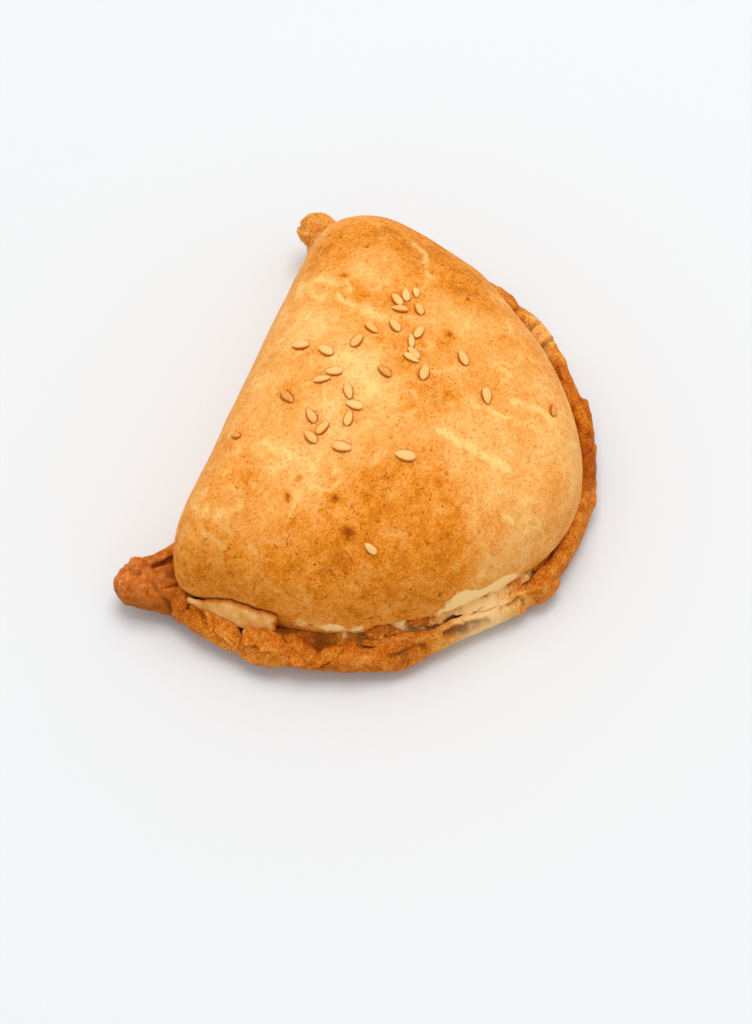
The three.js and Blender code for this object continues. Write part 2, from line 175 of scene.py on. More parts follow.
def swell(x, y):
    """The slow swell of a baked crust: three crossed sine waves."""
    waves = 0.55 * np.sin(0.11 * x + 0.05 * y + 1) + 0.45 * np.sin(-0.07 * x + 0.14 * y + 2.1)
    return waves + 0.3 * np.sin(0.23 * x + 0.19 * y)


def column_angles():
    """The columns stand closest at the horns and tucks: equal steps of a sum of density."""
    angle = np.linspace(0, 360, 7201)
    fold = ease(34, 42, angle) * (1 - ease(136, 144, angle))
    density = 0.5 + 0.75 * (1 - fold) + 0.8 * hump(angle, 148, 9) + 0.8 * hump(angle, 31, 9)
    density = density + 0.6 * hump(angle, 180, 26)
    total = np.concatenate([[0], np.cumsum((density[1:] + density[:-1]) / 2)])
    return np.interp(np.arange(COLUMNS) / COLUMNS * total[-1], total, angle)


def crust_points(angle):
    """One column at each angle. The crown is a superellipse down to the widest line, the
    flank a quarter ellipse into the crease, then come the rim's top, its round edge and
    its underside. At the fold a plain quarter of a circle takes the place of the rim."""
    shares = {name: np.arange(1, n + 1) / n for name, n in ROWS.items()}
    side, top = side_radius(angle), side_height(angle)
    out = np.sin(shares["crown"] * np.pi / 2) ** (2 / CROWN_SQUARENESS)
    level = np.maximum(1 - out**CROWN_SQUARENESS, 0) ** (1 / CROWN_FLATNESS)
    crown = side * out, top + (CROWN_HEIGHT - top) * level

    crease = np.minimum(CREASE_RADIUS + swells(CREASE_SWELLS, angle), side - 1.6)
    t = shares["flank"] * np.pi / 2
    flank = crease + (side - crease) * np.cos(t), top - (top - rim_top(angle, 0 * t)) * np.sin(t)
    edge = RIM_RADIUS + swells(RIM_SWELLS, angle) + tucked(angle, 3) - EDGE_BEND
    t = shares["rim"]
    rim = crease + (edge - crease) * t, rim_top(angle, t)
    lip_top = rim_top(angle, np.ones(1))
    t = shares["edge"] * np.pi
    lower = (0.3 + swells(LOWER_LIP_SWELLS, angle)) * np.sin(np.maximum(2 * t - np.pi, 0))
    bend = edge + EDGE_BEND * np.sin(t) + lower
    underside = UNDERSIDE + swells(UNDERSIDE_LIFTS, angle)
    round_edge = bend, lip_top + (underside - lip_top) * (1 - np.cos(t)) / 2
    t = shares["under"]
    under = edge + (FOOT_RADIUS - edge) * t, underside * (1 - t) ** 1.4

    whole = np.zeros((len(angle), 1))
    lower_rows = [flank, rim, round_edge, under]
    radius = np.concatenate([rows[0] + whole for rows in lower_rows], 1)
    height = np.concatenate([rows[1] + whole for rows in lower_rows], 1)
    turns = [30 * shares["flank"], 30 + 30 * shares["rim"], 60 + 14 * shares["edge"]]
    quarter = np.radians(np.concatenate([*turns, 74 + 16 * shares["under"]]))
    fold_radius = side - FOLD_UNDERCUT * (1 - np.maximum(np.cos(quarter), 0) ** 0.9)
    fold_height = top * (1 - np.sin(quarter))
    open_seam = ease(FOLD_FROM, FOLD_FROM + FOLD_EASE, angle)
    rimmed = 1 - open_seam * (1 - ease(FOLD_TO - FOLD_EASE, FOLD_TO, angle))
    radius = rimmed * radius + (1 - rimmed) * fold_radius
    height = rimmed * height + (1 - rimmed) * fold_height

    none, full = np.zeros(ROWS["flank"]), np.ones(ROWS["edge"])
    pull = np.concatenate([none, ease(0, 1, shares["rim"]), full, 1 - shares["under"]])
    falling = (1 + np.cos(shares["edge"] * np.pi)) / 2
    rise = np.concatenate([none, ease(0, 0.7, shares["rim"]), falling, 0 * shares["under"]])
    x = np.cos(np.radians(angle)) * radius
    y = np.sin(np.radians(angle)) * radius
    for centre, width, pull_x, pull_y, up, lift in HORNS:
        near = rimmed * hump(angle, centre, width, HORN_BLUNTNESS)
        x = x + near * pull * pull_x
        y = y + near * pull * pull_y
        height = height + near * (rise * up + pull * lift)
    inward = 1 - np.arange(1, ROWS["base"] + 1) / (ROWS["base"] + 1)
    x = np.concatenate([np.cos(np.radians(angle)) * crown[0], x, x[:, -1:] * inward], 1)
    y = np.concatenate([np.sin(np.radians(angle)) * crown[0], y, y[:, -1:] * inward], 1)
    z = np.concatenate([crown[1] + whole, height, inward * whole], 1)
    return np.stack([x, y, z + ease(8, 22, z) * swell(x, y)], -1)


def dough_noise(points, grain, seed):
    """Smooth noise from -1 to 1: random numbers at the corners of cubes as large as the
    grain, mixed across each cube by t * t * (3 - 2 * t)."""
    table = np.random.default_rng(seed).uniform(-1, 1, (32, 32, 32))
    cell = np.floor(points / grain).astype(int)
    t = points / grain - cell
    t = t * t * (3 - 2 * t)
    value = np.zeros(points.shape[:-1])
    for corner in np.ndindex(2, 2, 2):
        weight = np.prod(np.where(corner, t, 1 - t), axis=-1)
        i, j, k = np.moveaxis((cell + corner) % 32, -1, 0)
        value = value + weight * table[i, j, k]
    return value


def grid_normals(points):
    """The cross product of the steps down the rows and round the columns."""
    down = np.gradient(points, axis=1)
    along = np.roll(points, -1, 0) - np.roll(points, 1, 0)
    normal = np.cross(down, along)
    return normal / np.maximum(np.linalg.norm(normal, axis=-1, keepdims=True), 1e-9)


def stroke(points, route, width):
    """A soft line: exp(-(distance / width) ** 2) from the nearest stretch of the route."""
    nearest = np.full(points.shape[:-1], 1e3)
    for start, end in zip(np.array(route[:-1], float), np.array(route[1:], float)):
        step = end - start
        t = np.clip(((points - start) @ step) / (step @ step), 0, 1)
        gap = np.linalg.norm(points - start - t[..., None] * step, axis=-1)
        nearest = np.minimum(nearest, gap)
    return np.exp(-((nearest / width) ** 2))


def near(points, centre, radius):
    """A soft ball: exp(-(distance / radius) ** 2)."""
    return np.exp(-(np.sum((points - np.array(centre)) ** 2, -1)) / radius**2)


def skin(points, first, last):
    """The quads of a grid whose columns close into a ring, with a fan of triangles to one
    point before its first row and to one after its last row."""
    columns, rows = points.shape[:2]
    i, j = np.meshgrid(np.arange(columns), np.arange(rows - 1), indexing="ij")
    k = (i + 1) % columns
    quads = np.stack([i * rows + j, i * rows + j + 1, k * rows + j + 1, k * rows + j], -1)
    i, k = i[:, 0], k[:, 0]
    start = np.stack([0 * i + columns * rows, i * rows, k * rows], -1)
    end = np.stack([0 * i + columns * rows + 1, k * rows + rows - 1, i * rows + rows - 1], -1)
    vertices = np.concatenate([points.reshape(-1, 3), [first, last]])
    return vertices, [*quads.reshape(-1, 4).tolist(), *start.tolist(), *end.tolist()]


def pastry_piece(name, skins, attributes, material):
    """One smooth mesh of all the skins, given in mm, which rides on the pastry's part."""
    faces, at = [], 0
    for points, some in skins:
        faces += [[corner + at for corner in face] for face in some]
        at += len(points)
    mesh = bpy.data.meshes.new(name)
    mesh.from_pydata(np.concatenate([points for points, some in skins]) * MM, [], faces)
    mesh.polygons.foreach_set("use_smooth", np.ones(len(faces), bool))
    for key, values in attributes.items():
        attribute = mesh.attributes.new(key, "FLOAT", "POINT")
        attribute.data.foreach_set("value", values.astype(np.float32))
    mesh.materials.append(material)
    piece = bpy.data.objects.new(name, mesh)
    bpy.context.scene.collection.objects.link(piece)
    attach(piece, "root")
    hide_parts("pastry")


angles = column_angles()[:, None]
crust = crust_points(angles)
row_of = np.arange(crust.shape[1])
rim_from = ROWS["crown"] + ROWS["flank"]
rim_to = rim_from + ROWS["rim"] + ROWS["edge"]
on_rim = ease(rim_from - 7, rim_from + 2, row_of) * (1 - ease(rim_to, rim_to + 4, row_of))
fold_away = 1 - ease(33, 38, angles) * (1 - ease(140, 145, angles))
on_rim = on_rim * fold_away
lumpy = hump(angles, 172, 24) * on_rim
near_horn = hump(angles, 150, 7) * ease(rim_from, rim_from + 12, row_of) * on_rim
far_horn = hump(angles, 29.5, 6) * ease(rim_from, rim_from + 12, row_of) * on_rim
crumbly = near(crust, (-52.5, 3.5, 8), 4.2) * on_rim
filled = hump(angles, 232, 32, 4)
crumbly = crumbly + 1.1 * filled * np.exp(-(((row_of - rim_from - 3) / 14) ** 2))

# The relief of the dome, of the rim and of torn dough: each noise's grain and height in mm,
# and its seed.
DOME_RELIEF = [(11, 0.22, 1), (4.5, 0.10, 2), (1.8, 0.045, 3)]
RIM_RELIEF = [(6, 0.30, 4), (2.6, 0.24, 5), (1.3, 0.12, 6)]
CRUMB_RELIEF = [(2.2, 0.55, 7), (1.1, 0.35, 8)]

relief = sum(by * dough_noise(crust, grain, seed) for grain, by, seed in DOME_RELIEF)
rim_relief = sum(by * dough_noise(crust, grain, seed) for grain, by, seed in RIM_RELIEF)
crumbs = sum(by * dough_noise(crust, grain, seed) for grain, by, seed in CRUMB_RELIEF)
relief = relief * (1 - on_rim) + rim_relief * on_rim * (0.9 + 0.6 * lumpy)
relief = relief + crumbs * np.maximum(crumbly, 0.8 * near_horn)
settled = ease(0, 2.5, crust[..., 2])
crust = crust + grid_normals(crust) * (relief * settled)[..., None]
crust = crust + MIDDLE

# Creases where the dough was folded over itself, as places in X and Y along each. Each is a
# narrow furrow with a low bank on both sides.
FOLD_LINES = [
    [(-40.5, 36.5), (-45, 39)], [(-48.5, 38), (-50, 35.5), (-51.5, 32.5), (-53.5, 30.5)],
    [(-48.5, 29.5), (-52, 27)], [(-51.5, 24.5), (-54, 21.5)], [(-50.5, 19), (-54.5, 13.5)],
    [(-48.5, 3), (-52, 0), (-54, -2.5)], [(-53, -3.5), (-48, -8.5)], [(-35.5, -27), (-32, -31)],
    [(-24, -36.5), (-20, -40)], [(44, -14), (48.5, -16.5)], [(41, -18), (45.5, -21)],
    [(34.5, -30), (33, -32), (28.5, -35.5), (25, -38)], [(-35.5, -26.5), (-32, -31)],
    [(-45.5, -18), (-42.5, -21.5), (-39.5, -24.5)], [(-31.5, -30.5), (-27.5, -34.5)],
]
# How far the dough's noise bends, in X, Y and Z, whatever is drawn on the crust.
wander = np.stack([dough_noise(crust, 4.5, 20 + axis) for axis in range(3)], -1)
wander = wander + 0.5 * np.stack([dough_noise(crust, 1.6, 30 + axis) for axis in range(3)], -1)
on_top = on_rim * (1 - ease(rim_from + ROWS["rim"] + 3, rim_from + ROWS["rim"] + 9, row_of))
bent = (crust + 0.7 * wander)[..., :2]
on_top = on_top * ease(-1.2, 0, dough_noise(crust, 2.4, 37))
folds = on_top * sum(stroke(bent, route, 0.45) for route in FOLD_LINES)
banks = on_top * sum(stroke(bent, route, 1.5) for route in FOLD_LINES)
crust = crust + grid_normals(crust) * (0.4 * banks - 1.2 * folds)[..., None]
crust[..., 2] = np.maximum(crust[..., 2], 0)

# How the oven coloured it, with two patches of painted light among them: each patch is a place in
# mm, its radius, and how much browner or paler than golden it is there.
PATCHES = [
    (44, 18, 33, 14, 0.4), (33, 27, 37, 10, 0.45), (42, 4, 32, 10, 0.5), (37, 13, 36, 3, 0.35),
    (20, 20, 41, 4, 0.35), (20, 13, 41, 7, 0.2), (34, -7, 33, 9, 0.4), (24, -20, 34, 7, 0.1),
    (9, 4, 43, 4, 0.3), (2, -8, 41, 7, 0.35), (15, -6, 40, 3, 0.3), (-44, 23, 28, 10, 0.3),
    (-48, 12, 25, 10, 0.4), (-47, 26, 19, 6, 0.55), (-42, 3, 32, 10, 0.4), (-26, -6, 38, 9, 0.45),
    (-15, -12, 38, 7, 0.3), (-29, -23, 29, 9, 0.5), (-41, -12, 27, 9, 0.6),
    # The pale patches at (-16, -36) and (8, -38) are painted light: they brighten the low front of
    # the dome where it turns from the softbox.
    (-22, -20, 34, 9, 0.35), (-35, -23, 22, 5, 0.45), (-16, -36, 25, 7, -0.35),
    (8, -38, 26, 9, -0.35), (-11, 20, 41, 4, 0.25), (-29, 21, 38, 6, 0.35), (8, 25, 39, 5, -0.8),
    (13, 33, 33, 3, -0.5), (0, 9, 43, 5, -0.9), (3, 14, 43, 5, -0.4), (-1, 2, 43, 4, -0.5),
    (29, 18, 40, 4, -0.5), (25, -6, 38, 5, -0.4), (9, -9, 40, 3, -0.35), (16, -28, 34, 4, -0.25),
    (-9, 27, 38, 5, -0.4), (-14, 12, 41, 7, -0.35), (-14, 4, 42, 6, -0.5), (-26, 13, 39, 6, -0.5),
    (-3, -21, 38, 6, -0.4), (-6, -28, 35, 7, -0.2), (-42, 14, 31, 4, -0.25),
    (5, -32, 33, 4, -0.35), (-38, 22, 34, 3, -0.4), (-8, -7, 41, 5, -0.2), (30, 22, 39, 6, -0.3),
    (9, 8, 43, 4, -0.3), (-38, -1.5, 33, 6, 0.25),
]

# Bare dough that the glaze didn't reach, low on the front: places, radii and how bare.
BARE_PATCHES = [
    (-32, -26.5, 12, 2.4, 1), (-29.5, -29, 15.5, 3.6, 1.3), (-26.5, -31.5, 13.5, 3.4, 1.3),
    (-29, -28.5, 11, 2.4, 1), (-26, -31, 10.5, 2.4, 1), (-23, -33.5, 11, 2.4, 1),
    (-23, -34.5, 14.5, 3, 1.3), (-20, -36.5, 13.5, 2.6, 1.1), (-25.5, -31.5, 19.5, 2.2, -1.2),
    (-49, 2, 13.5, 3, 0.7), (-46.7, -5, 13.5, 3, 0.8), (-44, -10, 13, 3, 0.6),
]

# The rim's own colour: an angle, a width, and how much browner or paler it is there.
RIM_TONES = [
    (29, 9, -0.35), (155, 8, 0.3), (196, 7, 0.2), (213, 8, 0.1), (237, 9, -1.3), (262, 9, 0.1),
    (289, 8, 0.5), (303, 7, 0.3), (316, 6, 0.2), (328, 8, -0.5), (341, 6, 0.1),
]

# Where each sesame seed lies: its place in X and Y, its turn in degrees and its size. The crust is
# painted darker round each, as shade where it sits.
SEEDS = [
    (22.1, 8.6, 50, 1.0), (24.4, 7.2, 25, 0.95), (26.4, 5.7, 205, 0.75), (19.8, 6.9, 110, 0.95),
    (21.8, 3.0, 35, 0.95), (14.4, 5.8, 50, 1.0), (11.6, 10.1, 245, 0.95), (7.1, 11.7, 345, 1.0),
    (15.1, 0.4, 355, 0.95), (12.1, 0.9, 25, 0.9), (9.5, -0.7, 65, 0.95), (8.1, -0.5, 265, 0.95),
    (6.3, -4.6, 10, 1.05), (13.9, -10.6, 45, 1.05), (7.3, -18.8, 210, 1.05),
    (13.9, -32.2, 10, 0.85), (2.5, 3.1, 75, 0.95), (-1.8, 13.2, 115, 0.95), (-4.5, 15.0, 300, 0.95),
    (2.4, 17.0, 75, 1.05), (2.7, 23.2, 95, 1.1), (-5.2, 8.4, 215, 0.95), (-7.7, 5.9, 95, 1.0),
    (-11.3, 5.8, 10, 0.95), (-13.3, 13.7, 50, 1.0), (-15.1, 10.2, 340, 1.0), (-18.0, 11.7, 65, 1.0),
    (-10.6, 20.4, 245, 1.0), (-21.6, 28.1, 80, 0.8), (-17.8, 4.5, 280, 1.1),
    (-13.8, -8.5, 105, 1.15), (-34.6, -9.4, 65, 0.85),
]

# Pits where a bubble burst, as places in mm and the radius of each.
PITS = [
    (29.8, -20, 35.5, 0.9), (34, -22.8, 32, 0.7), (18.4, -5.5, 40, 0.9),
    (-27.3, 10.4, 38.6, 0.7), (-31.4, 11.3, 36.6, 0.8), (-28.4, 1.5, 38, 0.8),
    (-33.8, -3.7, 35.6, 0.9), (23.6, 21.7, 40.6, 0.8),
]

# Pale cracks where the glaze opened as the pouch swelled, as places in mm along each.
VEINS = [
    [(22, 33, 32), (16, 26, 39), (17, 23, 40), (17, 17, 42), (15, 9, 42)],
    [(22, 32, 34), (21, 24, 40), (23, 21, 41), (21, 19, 41)],
    [(43, 13, 33), (40, 10, 34), (36, 8, 36), (33, 5, 37)],
    [(5, -14, 40), (4, -23, 38), (9, -33, 32), (12, -40, 24)],
    [(-39, 30, 31), (-40, 27, 32), (-39, 24, 33), (-36, 21, 35)],
    [(-38, 26, 33), (-34, 26, 35), (-31, 26, 37)],
    [(-22, 22, 39), (-23, 14, 39), (-24, 7, 39), (-22, 3, 40)],
    [(0, 9, 43), (-2, 4, 42), (-6, 5, 42)],
    [(9, -25, 37), (11, -30, 34), (12, -34, 29)],
    [(-42, 33, 24), (-45, 32, 21), (-46, 30, 14)],
    [(-5, -13, 40), (-5, -20, 38), (-6, -29, 35)],
    [(-14, -31, 32), (-14, -34, 29), (-11, -37, 28)],
]
VEIN_WIDTH = 0.9

browning_and_shading = sum(by * near(crust + 2.2 * wander, at[:3], at[3]) for *at, by in PATCHES)
# The list is long, so a patch that lies in another adds to it only in part.
browning_and_shading = 1.1 * np.tanh(browning_and_shading)
# It is browner low on the side by the near horn and round each pit, and painted darker round each
# seed as contact shade.
browner = 0.45 * ease(29, 13, crust[..., 2]) * hump(angles, 205, 45)
browner = browner + sum(near(crust, at[:3], 1.5 * at[3]) for at in PITS)
browner = browner + 0.22 * sum(near(crust[..., :2], at[:2], 2.5) for at in SEEDS)
inner = filled * np.exp(-(((row_of - rim_from - 3) / 8) ** 2))
rim_browning = swells(RIM_TONES, angles) - 0.7 * inner
browning_and_shading = (browning_and_shading + browner) * (1 - on_rim) + rim_browning * on_rim
bare = sum(by * near(crust + 0.8 * wander, at[:3], at[3]) for *at, by in BARE_PATCHES)
# The dough's noise makes a vein wide here and breaks it off there.
girth = VEIN_WIDTH * (1 + 0.7 * dough_noise(crust, 2.2, 35))
veins = sum(stroke(crust + 1.1 * wander, route, girth) for route in VEINS)
veins = veins * ease(-0.8, -0.1, dough_noise(crust, 1.7, 36))
# Painted shade: it is painted dark, as if in shadow, in the crease under the pouch, in hollows,
# pits and folds, in the low spots of the rim's relief and of the crumbs, and on the facet where the
# near horn turns under.
share = (row_of - rim_from + 1) / ROWS["rim"]
hollow_shade = sum(
    0.4 * depth * hump(angles, centre, width) * np.exp(-(((share - out) / across) ** 2))
    for centre, out, depth, width, across in RIM_HOLLOWS
)
crease_shade = 0.6 * fold_away * (1 - 0.8 * filled)
crease = crease_shade * np.exp(-(((row_of - rim_from + 1) / 4.0) ** 2)) + hollow_shade
crease = crease + 0.9 * filled * crumbly * np.maximum(-crumbs - 0.15, 0)
crease = crease + sum(near(crust, at[:3], 0.6 * at[3]) for at in PITS)
crease = crease + np.maximum(-0.9 * rim_relief, 0) * on_rim + 0.9 * folds
facet_shade = hump(angles, 156, 4.5) * ease(rim_from + 24, rim_from + 34, row_of) * on_rim
crease = crease + 0.55 * facet_shade
webbed = swells(WEBS, angles) * np.exp(-(((share - 0.1) / 0.35) ** 2))
bare = bare * (1 - on_rim) + 0.4 * webbed * on_rim

# Of these, crease is painted shade, and the browning also holds some painted shade and light.
ATTRIBUTES = {
    "browning_and_shading": browning_and_shading, "rim": on_rim, "bare": np.clip(bare, 0, 1),
    "veins": np.clip(veins, 0, 1), "crease": np.clip(crease, 0, 1),
    "horn": np.clip(near_horn + 0.1 * far_horn, 0, 1),
}
crown = np.array([0, 0, CROWN_HEIGHT + swell(0, 0)]) + MIDDLE
for name, values in ATTRIBUTES.items():
    values = values + np.zeros(crust.shape[:2])
    ATTRIBUTES[name] = np.concatenate([values.ravel(), [values[:, 0].mean(), 0]])


def colour(hex_code):
    """An sRGB hex colour as linear light, with full alpha."""
    part = np.array([int(hex_code[i : i + 2], 16) for i in (1, 3, 5)]) / 255
    linear = np.where(part <= 0.04045, part / 12.92, ((part + 0.055) / 1.055) ** 2.4)
    return (*linear.tolist(), 1.0)


def add(tree, kind, inputs=None, stops=None, **settings):
    """Adds a node: its settings, the values or links of its inputs, and a ramp's stops from
    its low end to its high end."""
    made = tree.nodes.new("ShaderNode" + kind)
    for name, value in settings.items():
        setattr(made, name, value)
    for key, value in (inputs or {}).items():
        if isinstance(value, bpy.types.NodeSocket):
            tree.links.new(value, made.inputs[key])
        else:
            made.inputs[key].default_value = value
    for place, hex_code in (stops or [])[1:-1]:
        made.color_ramp.elements.new(place)
    for element, (place, hex_code) in zip(made.color_ramp.elements if stops else [], stops or []):
        element.position, element.color = place, colour(hex_code)
    return made


def calc(operation, first, second=0.5, third=0.5):
    """One sum on values or links in the present tree, and its result."""
    return add(tree, "Math", {0: first, 1: second, 2: third}, operation=operation).outputs[0]


def between(value, start, end):
    """0 at start and 1 at end, straight in between and level outside."""
    inputs = {"Value": value, 1: float(start), 2: float(end), 3: 0.0, 4: 1.0}
    return add(tree, "MapRange", inputs).outputs[0]


def over(below, above, amount):
    """Lays one colour over another by an amount from 0 to 1."""
    made = add(tree, "Mix", {0: amount, 6: below, 7: above}, data_type="RGBA", clamp_factor=True)
    return made.outputs[2]


def grains(millimetres, detail=4.0, roughness=0.6):
    """Noise of about 0 to 1 whose grains are so many millimetres wide."""
    inputs = {"Vector": place, "Scale": 1000 / millimetres}
    return add(tree, "TexNoise", inputs | {"Detail": detail, "Roughness": roughness}).outputs[0]


# Glazed wheat crust: egg-washed dough, browned in the oven. The eye gets a satin gold that
# goes from pale yellow to chestnut in soft patches, speckled, finely pored and crackled.
glazed = bpy.data.materials.new("glazed_wheat_crust")
glazed.use_nodes = True
tree = glazed.node_tree
tree.nodes.clear()
place = add(tree, "TexCoord").outputs["Object"]
read = {name: add(tree, "Attribute", attribute_name=name).outputs["Fac"] for name in ATTRIBUTES}
mottle = grains(1.5)

# How brown it is from 0 to 1: the patches, then blotches, mottling and grain over them.
baked = calc("MULTIPLY_ADD", read["browning_and_shading"], 0.44, 0.45)
for noise, by in ((grains(6), 0.65), (mottle, 0.36), (grains(0.45, 2.0), 0.7)):
    baked = calc("ADD", baked, calc("MULTIPLY_ADD", noise, by, -by / 2))
dome_colour = add(tree, "ValToRGB", {"Fac": baked}, stops=[
    (0.0, "#F5CC82"), (0.25, "#F2B464"), (0.5, "#EC9C46"), (0.7, "#DE841A"), (1.0, "#AA5004"),
]).outputs["Color"]
crimped = calc("MULTIPLY_ADD", read["browning_and_shading"], 0.5, 0.5)
for noise, by in ((grains(2.4), 0.8), (grains(0.45, 2.0), 1.0)):
    crimped = calc("ADD", crimped, calc("MULTIPLY_ADD", noise, by, -by / 2))
rim_colour = add(tree, "ValToRGB", {"Fac": crimped}, stops=[
    (0.0, "#F8CA86"), (0.3, "#E69C40"), (0.55, "#CC6E14"), (0.8, "#A44C08"), (1.0, "#7E3404"),
]).outputs["Color"]
horn_colour = add(tree, "ValToRGB", {"Fac": mottle}, stops=[
    (0.3, "#944816"), (0.5, "#C66E2A"), (0.7, "#E29048"),
]).outputs["Color"]

# Pale crackle: the edges of cells of about 9 mm, bent, and shown only here and there.
bend = add(tree, "TexNoise", {"Vector": place, "Scale": 1 / 0.005, "Detail": 3.0}).outputs["Color"]
bend = add(tree, "VectorMath", {0: bend, 1: (0.008, 0.008, 0.008)}, operation="MULTIPLY").outputs[0]
bent = add(tree, "VectorMath", {0: place, 1: bend}, operation="ADD").outputs[0]
cell_edge = add(
    tree, "TexVoronoi", {"Vector": bent, "Scale": 1 / 0.009}, feature="DISTANCE_TO_EDGE"
).outputs["Distance"]
crackle = calc("MULTIPLY", between(cell_edge, 0.09, 0.0), between(grains(8, 2.0), 0.46, 0.62))
crackle = calc("MULTIPLY", crackle, between(read["browning_and_shading"], 0.8, 0.1))
pale = calc("MAXIMUM", calc("MULTIPLY", crackle, 0.5), calc("MULTIPLY", read["veins"], 0.8))
tint = over(dome_colour, colour("#FBD07E"), pale)

# Specks: bran and burst bubbles, brown dots of half a millimetre at most in some cells.
cells = add(tree, "TexVoronoi", {"Vector": place, "Scale": 1 / 0.0014})
chance = add(tree, "SeparateColor", {0: cells.outputs["Color"]}).outputs
from_dot = calc("SUBTRACT", cells.outputs["Distance"], calc("MULTIPLY", chance[1], 0.14))
speck = calc("MULTIPLY", between(from_dot, 0.1, 0.02), calc("GREATER_THAN", chance[0], 0.55))
strength = calc("MULTIPLY_ADD", between(read["browning_and_shading"], -0.2, 0.5), 0.4, 0.4)
speck = calc("MULTIPLY", speck, strength)
# Hair cracks: short stretches of the lines along which one noise passes its middle.
line = between(calc("ABSOLUTE", calc("SUBTRACT", grains(4, 2.0), 0.5)), 0.022, 0.004)
crack = calc("MULTIPLY", line, between(grains(1.7, 0.0), 0.64, 0.69))
crack = calc("MULTIPLY", crack, between(read["browning_and_shading"], 0.0, 0.4))
flaw = calc("MAXIMUM", speck, calc("MULTIPLY", crack, 0.8))
# Freckles: the finest grains of the glaze, which browned a little more than the rest.
flaw = calc("MAXIMUM", flaw, calc("MULTIPLY", between(grains(0.6, 2.0), 0.56, 0.66), 0.38))
tint = over(tint, colour("#A23C04"), flaw)

# Over the glaze come the rim and the near horn, then bare dough, then dark brown as painted shade
# in creases, hollows and undersides.
tint = over(tint, rim_colour, read["rim"])
tint = over(tint, horn_colour, read["horn"])
uneven = calc("MULTIPLY_ADD", grains(1.4, 3.0), 0.8, calc("SUBTRACT", read["bare"], 0.4))
tint = over(tint, colour("#FFD890"), calc("MULTIPLY", between(uneven, 0.35, 0.6), 0.9))
# Painted shade: dark brown where the crease attribute says shadow falls.
tint = over(tint, colour("#743206"), calc("MULTIPLY", read["crease"], 0.75))

# Pores: its finest bumps, with the cracks cut into them.
pores = calc("SUBTRACT", grains(0.9, 5.0, 0.65), calc("MULTIPLY", crack, 0.5))
bump = add(tree, "Bump", {"Height": pores, "Strength": 0.6, "Distance": 0.0003}).outputs["Normal"]
dough = add(tree, "BsdfPrincipled", {
    "Base Color": tint, "Roughness": calc("MULTIPLY_ADD", mottle, 0.3, 0.42), "Normal": bump,
    "Specular IOR Level": 0.05, "Subsurface Weight": 0.1,
    "Subsurface Radius": (0.0016, 0.0007, 0.0003), "Subsurface Scale": 1.0,
})
add(tree, "OutputMaterial", {"Surface": dough.outputs[0]})
pastry_piece("crust", [skin(crust, crown, MIDDLE * (1, 1, 0))], ATTRIBUTES, glazed)


